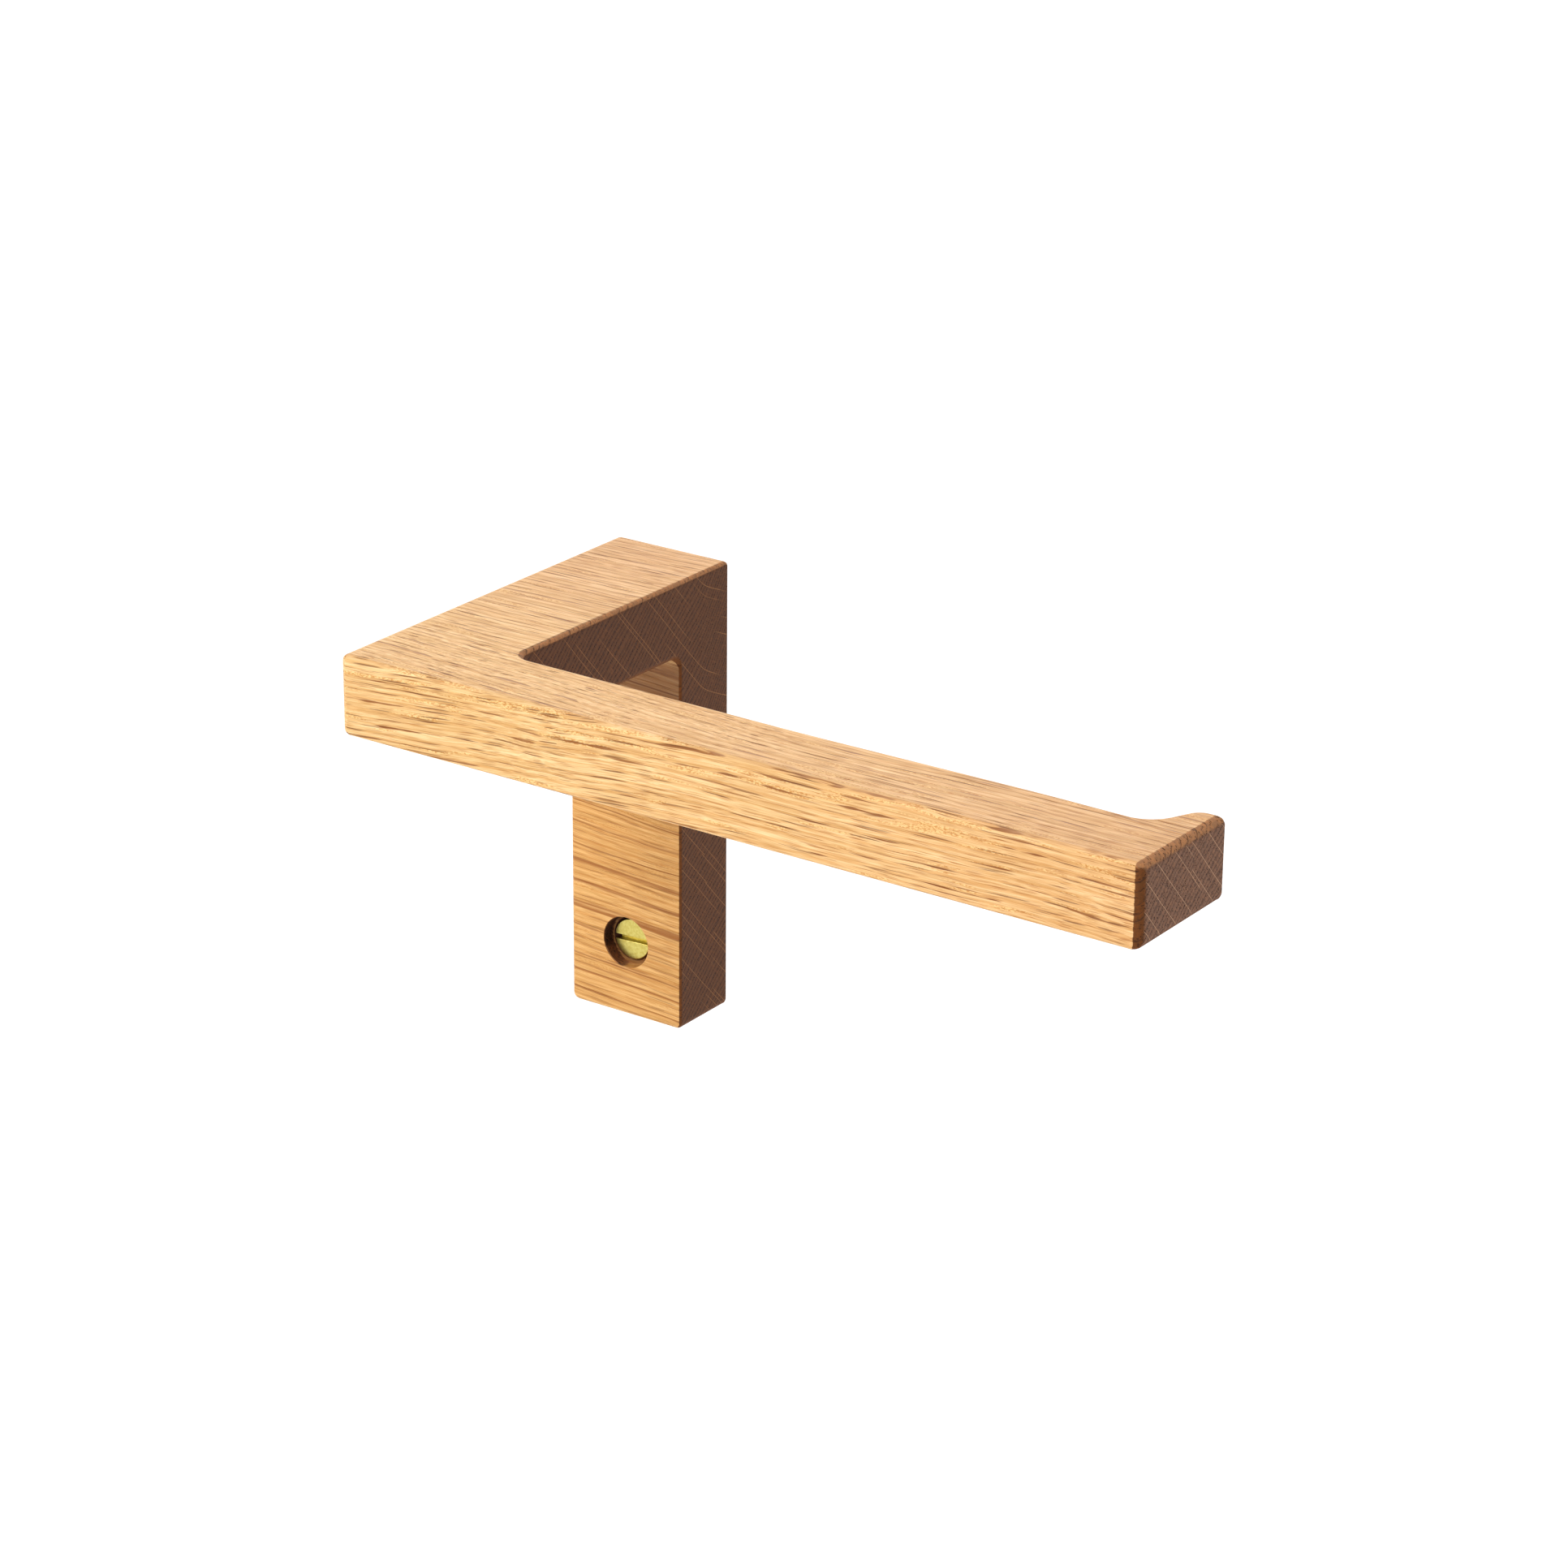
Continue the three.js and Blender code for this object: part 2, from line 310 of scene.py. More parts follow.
# --------------------------------------------------------------- the screws
def build_screw(name, node, turn):
    """Slotted countersunk wood screw along +Y, head at the low end: lathe body, slot, helical thread, gimlet point."""
    lo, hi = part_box(node)
    z = (lo.z + hi.z) / 2
    head_r = (hi.x - lo.x) / 2 / MM
    top, tip = lo.y / MM, hi.y / MM
    shank_r = 2.25
    cone_end = top + 0.38 + head_r - shank_r
    thread_from = tip - 15.5
    pitch = 1.95
    core_r = 1.55

    # body down to the thread
    profile = [(0, top), (head_r - 0.16, top), (head_r - 0.10, top + 0.012), (head_r - 0.04, top + 0.05),
               (head_r - 0.01, top + 0.11), (head_r, top + 0.17), (head_r, top + 0.36), (head_r - 0.05, top + 0.43)]
    n = 6
    for i in range(1, n):
        t = i / n
        profile.append((head_r - 0.05 - (head_r - 0.05 - shank_r - 0.12) * t, top + 0.43 + (cone_end - top - 0.43 - 0.1) * t))
    profile += [(shank_r + 0.10, cone_end - 0.04), (shank_r + 0.03, cone_end + 0.1), (shank_r, cone_end + 0.3),
                (shank_r, thread_from - 1.0), (shank_r, thread_from), (0, thread_from)]
    # the cap at the end of the shank is inside the thread's start
    head = new_object(name, lathe(profile, 96, name))

    # slot with a small chamfer at its mouth
    w, d, c = 0.525, 1.12, 0.03
    section = [(-w - 1.5 * c - 0.6, -0.6), (-w - c, 0.0), (-w, c), (-w, d - 0.08), (-w + 0.08, d), (w - 0.08, d), (w, d - 0.08),
               (w, c), (w + c, 0.0), (w + 1.5 * c + 0.6, -0.6)]
    bm = bmesh.new()
    ends = []
    for x in (-6, 6):
        ends.append([bm.verts.new((x * MM, (top + b) * MM, a * MM)) for a, b in section])
    k = len(section)
    for i in range(k):
        j = (i + 1) % k
        bm.faces.new((ends[0][i], ends[0][j], ends[1][j], ends[1][i]))
    bm.faces.new(ends[0])
    bm.faces.new(list(reversed(ends[1])))
    slot = new_object("slot", mesh_from(bm, "slot"))
    slot.rotation_euler = (0, math.radians(turn), 0)
    bpy.context.view_layer.update()
    boolean(head, slot)

    # thread: columns round the axis, rows that follow the helix
    cols = 64
    phases = [(0.0, 1.0), (0.07, 1.0), (0.20, 0.30), (0.30, 0.06), (0.42, 0.0), (0.62, 0.0), (0.78, 0.10), (0.90, 0.45)]
    rows_from, rows_to = thread_from - 0.8, tip
    turns = int((rows_to - rows_from) / pitch) + 4
    bm = bmesh.new()

    def radius(y, h):
        left = tip - y
        if left < 0.02:
            return 0.05
        core = core_r + 0.22 * max(0.0, min(1.0, (thread_from + 6 - y) / 6.8))
        point = max(0.0, min(1.0, left / 6.5))
        core = core * (1 - (1 - point) ** 1.7)
        out = shank_r if left > 6.5 else shank_r * (0.30 + 0.70 * (1 - (1 - point) ** 1.5))
        out = max(out, core)
        fade_in = max(0.0, min(1.0, (y - rows_from) / 1.6))
        base = core + (shank_r - 0.02 - core) * max(0.0, 1 - (y - rows_from) / 1.1) if y < rows_from + 1.1 else core
        r = base + (out - base) * h * fade_in
        if left < 0.5:
            r = min(r, 0.06 + left * 0.9)
        return max(r, 0.05)

    grid = []
    for i in range(cols):
        col = []
        for kk in range(turns):
            for ph, h in phases:
                y = rows_from + pitch * (kk - 1.5 + ph + i / cols)
                y = max(rows_from, min(rows_to, y))
                r = radius(y, h)
                t = 2 * math.pi * i / cols
                col.append(bm.verts.new((r * MM * math.cos(t), y * MM, r * MM * math.sin(t))))
        grid.append(col)
    P = len(phases)
    m_rows = turns * P
    for i in range(cols - 1):
        for r in range(m_rows - 1):
            bm.faces.new((grid[i][r], grid[i][r + 1], grid[i + 1][r + 1], grid[i + 1][r]))
    for r in range(m_rows - 1 - P):
        bm.faces.new((grid[cols - 1][r], grid[cols - 1][r + 1], grid[0][r + 1 + P], grid[0][r + P]))
    bmesh.ops.remove_doubles(bm, verts=bm.verts[:], dist=2e-6)
    bmesh.ops.dissolve_degenerate(bm, dist=1e-6, edges=bm.edges[:])
    holes = [e for e in bm.edges if e.is_boundary]
    bmesh.ops.holes_fill(bm, edges=holes, sides=0)
    thread = new_object(name + "_thread", mesh_from(bm, name + "_thread"))
    boolean(head, thread, "UNION")
    head.data.transform(Matrix.Translation((0, 0, z)))
    smooth(head, 32)
    return head


# ---------------------------------------------------------- node shorthand
class Nodes:
    def __init__(self, name):
        self.mat = bpy.data.materials.new(name)
        self.mat.use_nodes = True
        self.tree = self.mat.node_tree
        self.tree.nodes.clear()

    def node(self, kind, **props):
        n = self.tree.nodes.new(kind)
        for k, v in props.items():
            setattr(n, k, v)
        return n

    def put(self, socket, value):
        if isinstance(value, bpy.types.NodeSocket):
            self.tree.links.new(value, socket)
        elif value is not None:
            socket.default_value = value

    def math(self, op, a, b=None, c=None, clamp=False):
        n = self.node("ShaderNodeMath", operation=op, use_clamp=clamp)
        for i, v in enumerate((a, b, c)):
            self.put(n.inputs[i], v)
        return n.outputs[0]

    def add(self, *v):
        out = v[0]
        for w in v[1:]:
            out = self.math("ADD", out, w)
        return out

    def sub(self, a, b): return self.math("SUBTRACT", a, b)
    def mul(self, a, b): return self.math("MULTIPLY", a, b)
    def mad(self, a, b, c): return self.math("MULTIPLY_ADD", a, b, c)
    def inv(self, a): return self.math("SUBTRACT", 1.0, a)

    def vec(self, x, y, z):
        n = self.node("ShaderNodeCombineXYZ")
        for s, v in zip(n.inputs, (x, y, z)):
            self.put(s, v)
        return n.outputs[0]

    def split(self, v):
        n = self.node("ShaderNodeSeparateXYZ")
        self.put(n.inputs[0], v)
        return n.outputs

    def step(self, value, lo, hi, to_lo=0.0, to_hi=1.0, kind="SMOOTHSTEP"):
        n = self.node("ShaderNodeMapRange", interpolation_type=kind, clamp=True)
        for name, v in (("Value", value), ("From Min", lo), ("From Max", hi), ("To Min", to_lo), ("To Max", to_hi)):
            self.put(n.inputs[name], v)
        return n.outputs["Result"]

    def noise(self, vector, scale=1.0, detail=2.0, rough=0.5, colour=False, distortion=0.0):
        n = self.node("ShaderNodeTexNoise", noise_dimensions="3D")
        self.put(n.inputs["Vector"], vector)
        n.inputs["Scale"].default_value = scale
        n.inputs["Detail"].default_value = detail
        n.inputs["Roughness"].default_value = rough
        n.inputs["Distortion"].default_value = distortion
        return n.outputs["Color"] if colour else n.outputs[0]

    def noise1(self, w, detail=1.0):
        n = self.node("ShaderNodeTexNoise", noise_dimensions="1D")
        self.put(n.inputs["W"], w)
        n.inputs["Scale"].default_value = 1.0
        n.inputs["Detail"].default_value = detail
        return n.outputs[0]

    def white(self, w):
        n = self.node("ShaderNodeTexWhiteNoise", noise_dimensions="1D")
        self.put(n.inputs["W"], w)
        return n.outputs["Value"]

    def voronoi(self, vector, randomness=1.0):
        n = self.node("ShaderNodeTexVoronoi", voronoi_dimensions="3D", feature="F1")
        self.put(n.inputs["Vector"], vector)
        n.inputs["Scale"].default_value = 1.0
        n.inputs["Randomness"].default_value = randomness
        return n.outputs["Distance"], n.outputs["Color"], n.outputs["Position"]

    def mix(self, f, a, b, blend="MIX"):
        n = self.node("ShaderNodeMix", data_type="RGBA", blend_type=blend, clamp_factor=True)
        self.put(n.inputs[0], f)
        self.put(n.inputs[6], a)
        self.put(n.inputs[7], b)
        return n.outputs[2]

    def mixf(self, f, a, b):
        n = self.node("ShaderNodeMix", data_type="FLOAT", clamp_factor=True)
        self.put(n.inputs[0], f)
        self.put(n.inputs[2], a)
        self.put(n.inputs[3], b)
        return n.outputs[0]


def lin(r, g, b):
    """A linear colour from 0-255 display values."""
    f = lambda c: c / 12.92 if c <= 0.04045 else ((c + 0.055) / 1.055) ** 2.4
    return (f(r / 255), f(g / 255), f(b / 255), 1.0)


# --------------------------------------------------------------- oiled oak
def oak_material():
    """Solid oak in the object's own millimetres: grain along X, growth rings seen at about 45 degrees in the end grain."""
    g = Nodes("oiled_oak")
    tc = g.node("ShaderNodeTexCoord")
    scale = g.node("ShaderNodeVectorMath", operation="SCALE")
    g.put(scale.inputs[0], tc.outputs["Object"])
    scale.inputs["Scale"].default_value = 1000.0
    p = scale.outputs[0]
    x, y, z = g.split(p)
    geo = g.node("ShaderNodeNewGeometry")
    nx, ny, nz = g.split(geo.outputs["Normal"])
    ax = g.math("ABSOLUTE", nx)

    # slope of the grain: rises along the front of the arm, dips slightly across the plate
    reach = g.math("SMOOTH_MIN", x, 78.0, 60.0)
    tilt = g.step(y, -66.0, -22.0, 0.075, -0.04)
    sz = g.mul(reach, tilt)
    sy = g.mul(x, 0.018)
    big = g.split(g.noise(g.vec(g.mul(x, 1 / 55), g.mul(y, 1 / 22), g.mul(z, 1 / 22)), detail=1.0, colour=True))
    mid = g.split(g.noise(g.vec(g.mul(x, 1 / 14), g.mul(y, 1 / 4.5), g.mul(z, 1 / 4.5)), detail=1.0, colour=True))
    bend = g.mul(g.mul(g.math("SMOOTH_MAX", g.add(y, 8.0), 0.0, 3.0), -0.64), g.step(z, 2.0, 16.0))
    zb = g.add(z, bend, g.mad(big[0], 3.0, -1.5))
    yb = g.add(y, g.mad(big[1], 3.0, -1.5))
    zz = g.add(g.sub(zb, sz), g.mad(mid[0], 0.5, -0.25))
    yy = g.add(g.sub(yb, sy), g.mad(mid[1], 0.5, -0.25))
    ca, sa = math.cos(math.radians(48)), math.sin(math.radians(48))
    R = g.sub(g.mul(yy, ca), g.mul(zz, sa))   # across the rings
    T = g.add(g.mul(yy, sa), g.mul(zz, ca))   # along the rings

    # growth rings of uneven width, about 1 mm
    ring = g.add(R, g.mul(g.noise1(g.mul(R, 0.45)), 1.1))
    rho = g.math("FRACT", ring)
    index = g.math("FLOOR", ring)
    year = g.white(index)
    early = g.math("MAXIMUM", g.step(rho, 0.12, 0.50, 1.0, 0.0), g.step(rho, 0.93, 1.0))

    # open early wood cut along the grain: dark dashes that swell and taper, one ring at a time
    run = g.noise(g.vec(g.mul(x, 1 / 11), g.mul(index, 5.31), g.mul(T, 1 / 2.4)), detail=2.0, rough=0.55)
    width = g.step(run, 0.455, 0.73, 0.0, 0.20, kind="LINEAR")
    off = g.math("ABSOLUTE", g.sub(rho, g.mad(year, 0.12, 0.22)))
    dash = g.mul(g.step(g.sub(off, width), -0.075, 0.0, 1.0, 0.0), g.step(width, 0.01, 0.045))
    run2 = g.noise(g.vec(g.mad(x, 1 / 7, 31.0), g.mul(index, 3.17), g.mul(T, 1 / 1.2)), detail=2.0, rough=0.6)
    off2 = g.math("ABSOLUTE", g.sub(rho, g.mad(year, 0.3, 0.55)))
    dash2 = g.mul(g.step(g.sub(off2, g.step(run2, 0.5, 0.75, 0.0, 0.11, kind="LINEAR")), -0.05, 0.0, 1.0, 0.0),
                  g.step(run2, 0.51, 0.58))

    # vessels: long thin cells along the grain
    def vessels(length, width, seed, inner, outer):
        d, c, _ = g.voronoi(g.vec(g.mad(x, 1 / length, seed), g.mad(R, 1 / width, seed * 3.1), g.mad(T, 1 / width, seed * 1.7)))
        return g.step(d, inner, outer, 1.0, 0.0), g.split(c)

    big_v, big_c = vessels(13.0, 0.36, 3.3, 0.24, 0.40)
    few = g.step(g.add(big_c[0], g.mul(early, 0.62), g.mul(year, 0.22)), 0.98, 1.06)
    pore = g.mul(big_v, few)
    fine_v, fine_c = vessels(5.5, 0.21, 9.1, 0.20, 0.48)
    fine = g.mul(fine_v, g.step(g.add(fine_c[0], g.mul(early, 0.5)), 0.55, 0.8))

    # fibres and soft streaks
    streak = g.noise(g.vec(g.mul(x, 1 / 34), g.mul(R, 1 / 0.9), g.mul(T, 1 / 1.3)), detail=3.0, rough=0.6)
    broad = g.noise(g.vec(g.mul(x, 1 / 60), g.mul(R, 1 / 3.4), g.mul(T, 1 / 3.4)), detail=1.0)
    fibre = g.noise(g.vec(g.mul(x, 1 / 9), g.mul(R, 1 / 0.16), g.mul(T, 1 / 0.16)), detail=2.0, rough=0.6)
    grit = g.noise(g.vec(g.mul(x, 1 / 0.5), g.mul(y, 1 / 0.22), g.mul(z, 1 / 0.22)), detail=2.0, rough=0.7)
    mott = g.noise(g.vec(g.mul(x, 1 / 0.8), g.mul(y, 1 / 0.7), g.mul(z, 1 / 0.7)), detail=2.0, rough=0.65)

    # golden flecks, mostly along the arm's front upper edge
    edge = g.mul(g.step(z, 37.5, 41.5), g.step(y, -74.0, -79.5))
    band = g.noise(g.vec(g.mad(x, 1 / 20, 11.0), g.mul(R, 1 / 0.9), g.mul(T, 1 / 1.5)), detail=2.0, rough=0.55)
    fleck = g.step(g.mad(edge, 0.07, band), 0.60, 0.66)
    # painted glints: pale speckles in the golden flecks
    glint_speckle = g.noise(g.vec(g.mul(x, 1 / 0.55), g.mul(R, 1 / 0.20), g.mul(T, 1 / 0.20)), detail=2.0, rough=0.65)

    # medullary rays: thin, nearly flat sheets across the rings, about 3 mm apart
    ry, rz = g.mixf(0.7, yb, y), g.mixf(0.7, zb, g.add(z, bend))
    rt = g.add(g.mul(ry, math.sin(math.radians(47))), g.mul(rz, math.cos(math.radians(47))))
    rr = g.sub(g.mul(ry, ca), g.mul(rz, sa))
    _, _, pos = g.voronoi(g.vec(g.mul(x, 1 / 11), g.mul(rr, 1 / 40), g.mul(rt, 1 / 2.9)))
    px, pr, pt = g.split(pos)
    dx = g.sub(g.mul(x, 1 / 11), px)
    dr = g.sub(g.mul(rr, 1 / 40), pr)
    dt = g.math("ABSOLUTE", g.sub(g.mul(rt, 1 / 2.9), pt))
    inside = g.step(g.add(g.mul(dx, dx), g.mul(dr, dr)), 0.16, 0.30, 1.0, 0.0)
    ray = g.mul(g.step(dt, 0.011, 0.026, 1.0, 0.0), inside)
    fine_ray = g.noise(g.vec(g.mul(x, 1 / 2.5), g.mul(rr, 1 / 2.2), g.mul(rt, 1 / 0.13)), detail=1.0)

    # ------------------------------------------------ long grain colour
    tone = g.mix(g.mul(early, 0.7), lin(*LATE), lin(*EARLY))
    col = g.mix(g.step(streak, 0.36, 0.66), g.mix(1.0, tone, (1.07, 1.05, 1.03, 1.0), "MULTIPLY"),
                g.mix(1.0, tone, (0.92, 0.86, 0.75, 1.0), "MULTIPLY"))
    col = g.mix(g.step(broad, 0.40, 0.62, 0.0, 0.7), col, g.mix(1.0, col, (0.93, 0.88, 0.80, 1.0), "MULTIPLY"))
    col = g.mix(g.step(fibre, 0.38, 0.60, 0.0, 0.85), col, g.mix(1.0, col, (0.80, 0.69, 0.54, 1.0), "MULTIPLY"))
    # the flecks' pale speckles are painted glints
    gold = g.mix(g.step(glint_speckle, 0.40, 0.58), lin(204, 134, 56), lin(252, 216, 148))
    plain = col
    col = g.mix(g.mul(fleck, 0.68), col, gold)
    col = g.mix(g.mul(ray, 0.40), col, lin(196, 134, 74))
    col = g.mix(g.mul(fine, 0.55), col, lin(172, 108, 52))
    # painted sheen: on the top faces the dark lines are paler, bluer and fainter
    top = g.step(nz, 0.5, 0.9)
    col = g.mix(g.mul(dash2, 0.75), col, g.mix(top, lin(172, 104, 36), lin(176, 118, 80)))
    dark = g.mul(dash, g.mad(year, 0.35, 0.65))
    col = g.mix(g.mul(dark, g.mixf(top, 1.0, 0.72)), col, g.mix(top, lin(136, 74, 20), lin(148, 94, 62)))
    col = g.mix(g.mul(pore, g.mad(big_c[1], 0.4, 0.45)), col, lin(118, 70, 36))

    # painted shade: the long-grain colour darkens towards the tip, from x 20 to 150 mm
    col = g.mix(g.step(x, 20.0, 150.0, kind="LINEAR"), col, g.mix(1.0, col, (0.94, 0.88, 0.87, 1.0), "MULTIPLY"))
    # painted shade on the top faces: darker towards the tip, and darker towards the wall
    col = g.mix(g.mul(top, g.step(x, 60.0, 150.0)), col, g.mix(1.0, col, (0.94, 0.93, 0.93, 1.0), "MULTIPLY"))

    col = g.mix(g.mul(top, g.step(y, -66.0, -5.0, 0.35, 1.0)), col, g.mix(1.0, col, (0.88, 0.80, 0.82, 1.0), "MULTIPLY"))

    # the plate's front is darker, partly darker wood and partly painted shade from the arm and stand-off above it, with
    # a few broad rings across it
    plate = g.mul(g.mul(g.step(y, -19.0, -15.6), g.step(z, 31.0, 27.5)), g.step(y, -9.0, -13.5))
    wide = g.math("FRACT", g.add(g.mul(R, 0.31), g.noise1(g.mul(R, 0.35)), 0.2))
    wdark = g.mul(g.step(g.math("ABSOLUTE", g.sub(wide, 0.5)), 0.035, 0.085, 1.0, 0.0), g.step(streak, 0.30, 0.55, 0.35, 1.0))
    # darker plate front: partly the wood's own tone, partly painted shade
    pcol = g.mix(1.0, g.mix(0.55, col, plain), (0.81, 0.69, 0.51, 1.0), "MULTIPLY")
    pcol = g.mix(g.mul(wdark, 0.80), pcol, lin(148, 86, 32))
    # painted shade: the plate's front darkens from z 14 to 22 mm up, under the stand-off and behind the arm
    pcol = g.mix(g.step(z, 14.0, 22.0), pcol, g.mix(1.0, pcol, (0.42, 0.39, 0.45, 1.0), "MULTIPLY"))
    col = g.mix(plate, col, pcol)

    # ------------------------------------------------ end grain colour
    # the closed left end keeps its long grain well round the arris
    exposed = g.mixf(g.math("GREATER_THAN", nx, 0.0), g.sub(ax, 0.6), ax)
    ragged = g.add(exposed, g.mul(g.sub(g.mad(early, 0.5, fibre), 0.7), 0.09))
    end = g.step(ragged, 0.07, 0.17)
    flat_end = g.step(ax, 0.86, 0.99)
    e_col = g.mix(early, lin(*END_LATE), lin(*END_EARLY))
    e_col = g.mix(g.step(fine_ray, 0.45, 0.75, 0.0, 0.5), e_col, lin(160, 114, 84))
    e_col = g.mix(g.step(mott, 0.42, 0.62, 0.0, 0.5), e_col, g.mix(1.0, e_col, (1.28, 1.15, 1.0, 1.0), "MULTIPLY"))
    e_pore = g.mul(big_v, g.step(g.add(big_c[0], g.mul(early, 0.75)), 0.62, 0.85))
    e_dark = g.math("MAXIMUM", e_pore, g.mul(fine, 0.6))
    e_col = g.mix(g.mul(e_dark, 0.85), e_col, lin(52, 30, 20))
    e_col = g.mix(g.mul(ray, 0.85), e_col, lin(196, 152, 118))
    e_col = g.mix(g.step(grit, 0.35, 0.7, 0.0, 0.45), e_col, g.mix(1.0, e_col, (0.66, 0.60, 0.56, 1.0), "MULTIPLY"))
    # arrises by facing: those facing up are painted lighter and paler (painted light and sheen), front and side-facing
    # ones darker (painted shade)
    rim = g.mix(g.step(nz, 0.15, 0.45), lin(98, 54, 12), lin(160, 112, 74))
    rim = g.mix(g.step(mott, 0.40, 0.62, 0.0, 0.7), rim, g.mix(1.0, rim, (1.5, 1.35, 1.15, 1.0), "MULTIPLY"))
    rim = g.mix(g.mul(g.math("MAXIMUM", g.math("MAXIMUM", pore, dark), g.mul(fine, 0.7)), 0.8), rim, lin(66, 36, 14))
    # painted shade: end grain on the sides of the stand-off and plate, below the arm, is much darker than on the arm's
    # end
    e_col = g.mix(g.step(x, 40.0, 20.0), e_col, g.mix(1.0, e_col, (0.56, 0.43, 0.27, 1.0), "MULTIPLY"))
    e_col = g.mix(flat_end, rim, e_col)
    col = g.mix(end, col, e_col)

    # painted shade darkens the counterbores, most on their end grain and down at the seat
    z0 = g.step(z, -10.5, -9.5, SCREW_Z[0], SCREW_Z[1], kind="LINEAR")
    hz = g.sub(z, z0)
    reach_in = g.math("SQRT", g.add(g.mul(x, x), g.mul(hz, hz)))
    in_bore = g.mul(g.mul(g.step(reach_in, 5.45, 5.2), g.step(y, -14.98, -14.75)), g.step(y, -9.5, -10.5))
    bore_shade = g.math("MAXIMUM", g.step(nx, -0.1, 0.5), g.step(y, -12.8, -12.6))
    col = g.mix(g.mul(in_bore, g.mad(bore_shade, 0.65, 0.3)), col, g.mix(1.0, col, (0.30, 0.22, 0.16, 1.0), "MULTIPLY"))

    # ------------------------------------------------ gloss and relief
    bsdf = g.node("ShaderNodeBsdfPrincipled")
    g.put(bsdf.inputs["Base Color"], col)
    rough = g.add(g.mixf(end, 0.44, 0.70), g.mul(g.sub(fibre, 0.5), 0.12), g.mul(pore, 0.2))
    g.put(bsdf.inputs["Roughness"], rough)
    bsdf.inputs["Specular IOR Level"].default_value = 0.24
    height = g.add(g.mul(g.inv(pore), 0.8), g.mul(g.inv(dash), 0.8), g.mul(g.inv(fine), 0.25), g.mul(fibre, 0.35),
                   g.mul(grit, 0.15), g.mul(g.inv(g.mul(end, e_pore)), 0.8))
    bump = g.node("ShaderNodeBump")
    bump.inputs["Strength"].default_value = 0.6
    bump.inputs["Distance"].default_value = 0.00013
    g.put(bump.inputs["Height"], height)
    g.put(bsdf.inputs["Normal"], bump.outputs[0])
    out = g.node("ShaderNodeOutputMaterial")
    g.put(out.inputs["Surface"], bsdf.outputs[0])
    return g.mat


# ------------------------------------------------------------------- brass
def brass_material():
    """Turned brass: fine rings about the screw's own axis, light tarnish."""
    g = Nodes("turned_brass")
    tc = g.node("ShaderNodeTexCoord")
    scale = g.node("ShaderNodeVectorMath", operation="SCALE")
    g.put(scale.inputs[0], tc.outputs["Object"])
    scale.inputs["Scale"].default_value = 1000.0
    x, y, z = g.split(scale.outputs[0])
    # both screws stand on x = 0 at their own heights, 40 mm apart
    z0 = g.step(z, -10.5, -9.5, SCREW_Z[0], SCREW_Z[1], kind="LINEAR")
    dz = g.sub(z, z0)
    radius = g.math("SQRT", g.add(g.mul(x, x), g.mul(dz, dz)))
    lines = g.noise(g.vec(g.mul(radius, 9.0), g.mul(y, 9.0), 0.0), detail=3.0, rough=0.65)
    marks = g.noise(g.vec(g.mul(x, 1.6), g.mul(y, 1.6), g.mul(z, 1.6)), detail=4.0, rough=0.6)
    spots = g.noise(g.vec(g.mul(x, 7.0), g.mul(y, 7.0), g.mul(z, 7.0)), detail=2.0)
    col = g.mix(g.step(marks, 0.3, 0.72), lin(214, 200, 116), lin(196, 176, 88))
    col = g.mix(g.step(spots, 0.62, 0.74, 0.0, 0.35), col, lin(150, 122, 58))
    bsdf = g.node("ShaderNodeBsdfPrincipled")
    g.put(bsdf.inputs["Base Color"], col)
    bsdf.inputs["Metallic"].default_value = 1.0
    g.put(bsdf.inputs["Roughness"], g.add(g.mad(lines, 0.14, 0.18), g.mul(marks, 0.10)))
    bump = g.node("ShaderNodeBump")
    bump.inputs["Strength"].default_value = 0.3
    bump.inputs["Distance"].default_value = 0.00002
    g.put(bump.inputs["Height"], g.add(lines, g.mul(spots, 0.4)))
    g.put(bsdf.inputs["Normal"], bump.outputs[0])
    out = g.node("ShaderNodeOutputMaterial")
    g.put(out.inputs["Surface"], bsdf.outputs[0])
    return g.mat


# ------------------------------------------------------------- the object
SCREW_Z = []
for node in ("lower_screw", "upper_screw"):
    lo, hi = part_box(node)
    SCREW_Z.append((lo.z + hi.z) / 2 / MM)

oak = build_oak()
oak.data.materials.clear()
oak.data.materials.append(oak_material())
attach(oak, "root")
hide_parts("oak_body")

brass = brass_material()
for name, node, turn in (("lower_wood_screw", "lower_screw", -2.5), ("upper_wood_screw", "upper_screw", 23.0)):
    s = build_screw(name, node, turn)
    s.data.materials.clear()
    s.data.materials.append(brass)
    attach(s, "root")
    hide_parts(node)

# ------------------------------------------------------------------ studio
def floor_material():
    g = Nodes("studio_floor")
    bsdf = g.node("ShaderNodeBsdfPrincipled")
    bsdf.inputs["Base Color"].default_value = (0.92, 0.92, 0.92, 1.0)
    bsdf.inputs["Roughness"].default_value = 0.9
    bsdf.inputs["Specular IOR Level"].default_value = 0.1
    bsdf.inputs["Emission Color"].default_value = (1.0, 1.0, 1.0, 1.0)
    bsdf.inputs["Emission Strength"].default_value = 0.12
    out = g.node("ShaderNodeOutputMaterial")
    g.put(out.inputs["Surface"], bsdf.outputs[0])
    return g.mat


bm = bmesh.new()
bmesh.ops.create_grid(bm, x_segments=8, y_segments=8, size=8.0)
me = bpy.data.meshes.new("studio_floor")
bm.to_mesh(me)
bm.free()
floor = new_object("studio_floor", me)
floor.location = (0.0, 0.0, oak_lo.z - 0.22)
floor.data.materials.append(floor_material())
floor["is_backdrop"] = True

scene = bpy.context.scene
world = bpy.data.worlds.new("studio")
world.use_nodes = True
wt = world.node_tree
bg = wt.nodes["Background"]
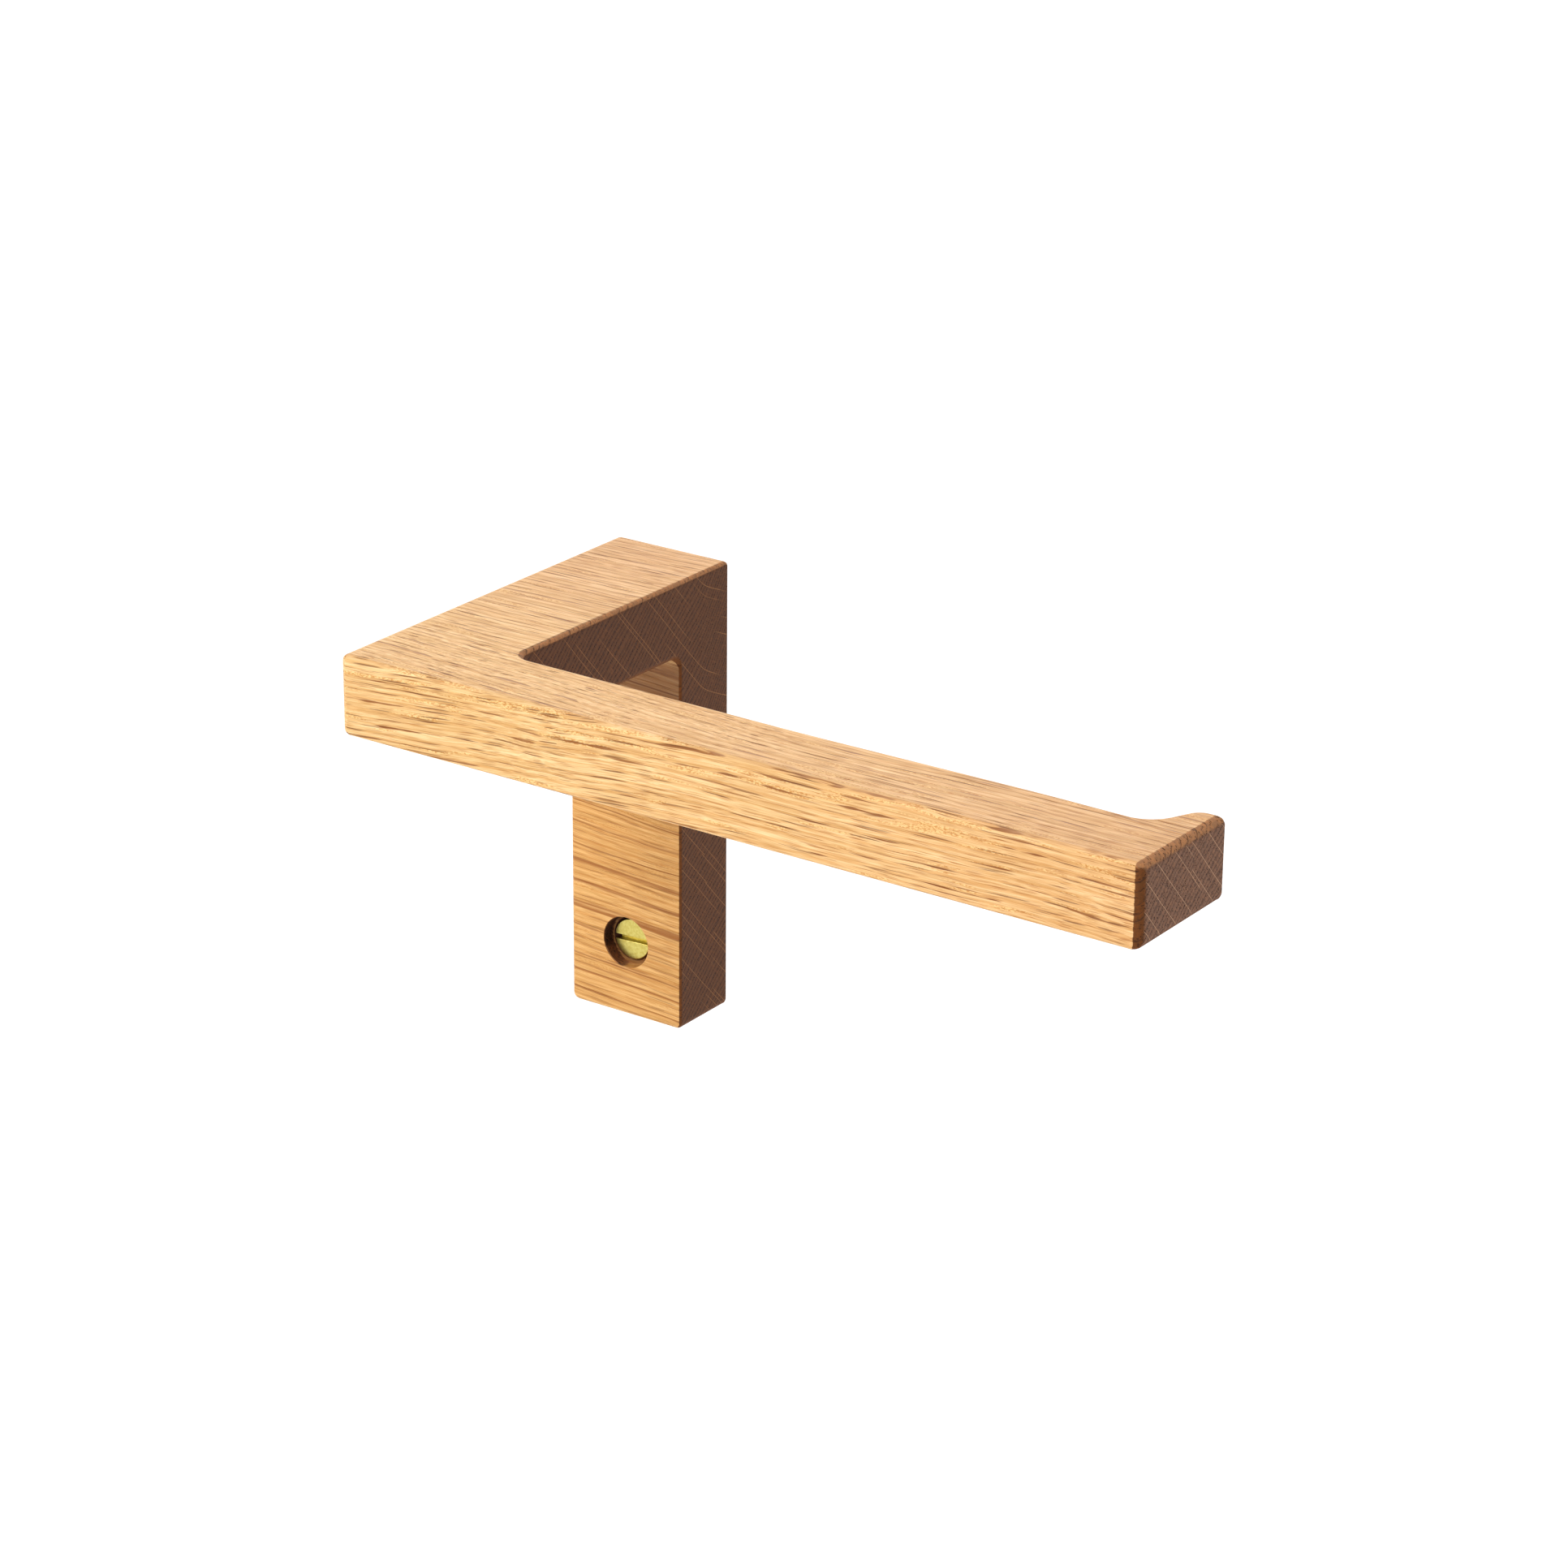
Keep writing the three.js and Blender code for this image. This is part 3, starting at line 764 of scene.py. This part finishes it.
# soft room: brighter low behind the object, dimmer in front and to the right
wtc = wt.nodes.new("ShaderNodeTexCoord")
wsplit = wt.nodes.new("ShaderNodeSeparateXYZ")
wt.links.new(wtc.outputs["Generated"], wsplit.inputs[0])
wback = wt.nodes.new("ShaderNodeMapRange")
wback.interpolation_type = "SMOOTHSTEP"
for name, value in (("From Min", 0.0), ("From Max", 0.8), ("To Min", 0.34), ("To Max", 1.5)):
    wback.inputs[name].default_value = value
wt.links.new(wsplit.outputs[1], wback.inputs["Value"])
wright = wt.nodes.new("ShaderNodeMapRange")
wright.interpolation_type = "SMOOTHSTEP"
for name, value in (("From Min", -0.2), ("From Max", 0.9), ("To Min", 1.0), ("To Max", 0.6)):
    wright.inputs[name].default_value = value
wt.links.new(wsplit.outputs[0], wright.inputs["Value"])
wmul = wt.nodes.new("ShaderNodeMath")
wmul.operation = "MULTIPLY"
wt.links.new(wback.outputs["Result"], wmul.inputs[0])
wt.links.new(wright.outputs["Result"], wmul.inputs[1])
# a pale band all round the horizon
wband = wt.nodes.new("ShaderNodeMapRange")
wband.interpolation_type = "SMOOTHSTEP"
for name, value in (("From Min", 0.14), ("From Max", 0.30), ("To Min", 0.92), ("To Max", 0.0)):
    wband.inputs[name].default_value = value
wt.links.new(wsplit.outputs[2], wband.inputs["Value"])
wmax = wt.nodes.new("ShaderNodeMath")
wmax.operation = "MAXIMUM"
wt.links.new(wmul.outputs[0], wmax.inputs[0])
wt.links.new(wband.outputs["Result"], wmax.inputs[1])
wt.links.new(wmax.outputs[0], bg.inputs[1])
bg.inputs[0].default_value = (1.0, 1.0, 1.0, 1.0)
scene.world = world

sun = bpy.data.lights.new("key", "SUN")
sun.energy = 2.5
sun.angle = math.radians(40)
sun.color = (1.0, 0.99, 0.97)
key = bpy.data.objects.new("key", sun)
scene.collection.objects.link(key)
key.rotation_euler = Vector((-0.38, -0.56, 0.74)).to_track_quat("Z", "Y").to_euler()

scene.view_settings.view_transform = "Standard"
scene.view_settings.look = "None"
scene.view_settings.exposure = 0.0
scene.view_settings.gamma = 1.0

# ------------------------------------------------------------------ camera
AZ, EL, ROLL = math.radians(34.756476), math.radians(21.605443), math.radians(0.502152)
eye = Vector((0.4889318, -0.6673093, 0.3252249))
fwd = Vector((-math.sin(AZ) * math.cos(EL), math.cos(AZ) * math.cos(EL), -math.sin(EL)))
right = Vector((math.cos(AZ), math.sin(AZ), 0.0))
up = right.cross(fwd)
r2 = right * math.cos(ROLL) + up * math.sin(ROLL)
u2 = up * math.cos(ROLL) - right * math.sin(ROLL)
cam = bpy.data.cameras.new("camera")
cam.sensor_fit = "HORIZONTAL"
cam.sensor_width = 36.0
cam.lens = 5764.406 / 1932 * 36.0
cam.shift_x = -0.5 / 1932
cam.shift_y = 0.5 / 1932
cam.clip_start = 0.02
cam.clip_end = 60.0
camera = bpy.data.objects.new("camera", cam)
scene.collection.objects.link(camera)
camera.matrix_world = Matrix((
    (r2.x, u2.x, -fwd.x, eye.x),
    (r2.y, u2.y, -fwd.y, eye.y),
    (r2.z, u2.z, -fwd.z, eye.z),
    (0, 0, 0, 1)))
scene.camera = camera

lo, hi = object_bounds()
